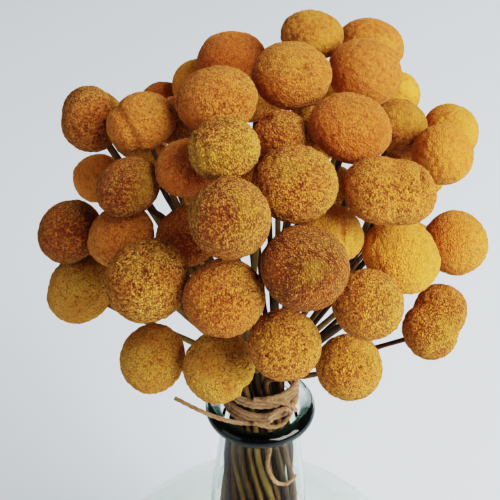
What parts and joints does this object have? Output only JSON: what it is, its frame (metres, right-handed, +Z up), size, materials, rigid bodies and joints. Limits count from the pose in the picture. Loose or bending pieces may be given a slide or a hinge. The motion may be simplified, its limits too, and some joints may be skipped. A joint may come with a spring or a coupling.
{
  "type": "dried billy buttons",
  "caption": "Bunch of dried round yellow flower heads on straw stems, tied with twine and standing in a clear round bottle vase.",
  "frame": {"origin": "centre of the vase's flat foot, on the surface that it stands on", "axes": "+Z up through the vase's neck; -Y is the front, the side that the bunch is seen from; +X is to the right seen from there"},
  "size_m": [0.1678, 0.1678, 0.3976],
  "materials": {
    "glass": "polished, clear with a faint green tint that darkens in the thick lip",
    "straw": "matte dry stems, ribbed, olive green to brown",
    "jute": "matte fibrous twine, tan",
    "florets": "matte, granular, mustard yellow to burnt orange in the crevices"
  },
  "bodies": {
    "root": {"vase": "glass", "stems": "straw", "twine": "jute", "head_01": "florets", "head_02": "florets", "head_03": "florets", "head_04": "florets", "head_05": "florets", "head_06": "florets", "head_07": "florets", "head_08": "florets", "head_09": "florets", "head_10": "florets", "head_11": "florets", "head_12": "florets", "head_13": "florets", "head_14": "florets", "head_15": "florets", "head_16": "florets", "head_17": "florets", "head_18": "florets", "head_19": "florets", "head_20": "florets", "head_21": "florets", "head_22": "florets", "head_23": "florets", "head_24": "florets", "head_25": "florets", "head_26": "florets", "head_27": "florets", "head_28": "florets", "head_29": "florets", "head_30": "florets", "head_31": "florets", "head_32": "florets", "head_33": "florets", "head_34": "florets", "head_35": "florets", "head_36": "florets", "head_37": "florets", "head_38": "florets", "head_39": "florets", "head_40": "florets", "head_41": "florets", "head_42": "florets", "head_43": "florets", "head_44": "florets", "head_45": "florets", "head_46": "florets", "head_47": "florets", "head_48": "florets", "head_49": "florets", "head_50": "florets", "head_51": "florets", "head_52": "florets", "head_53": "florets", "head_54": "florets", "head_55": "florets"}
  },
  "joints": []
}
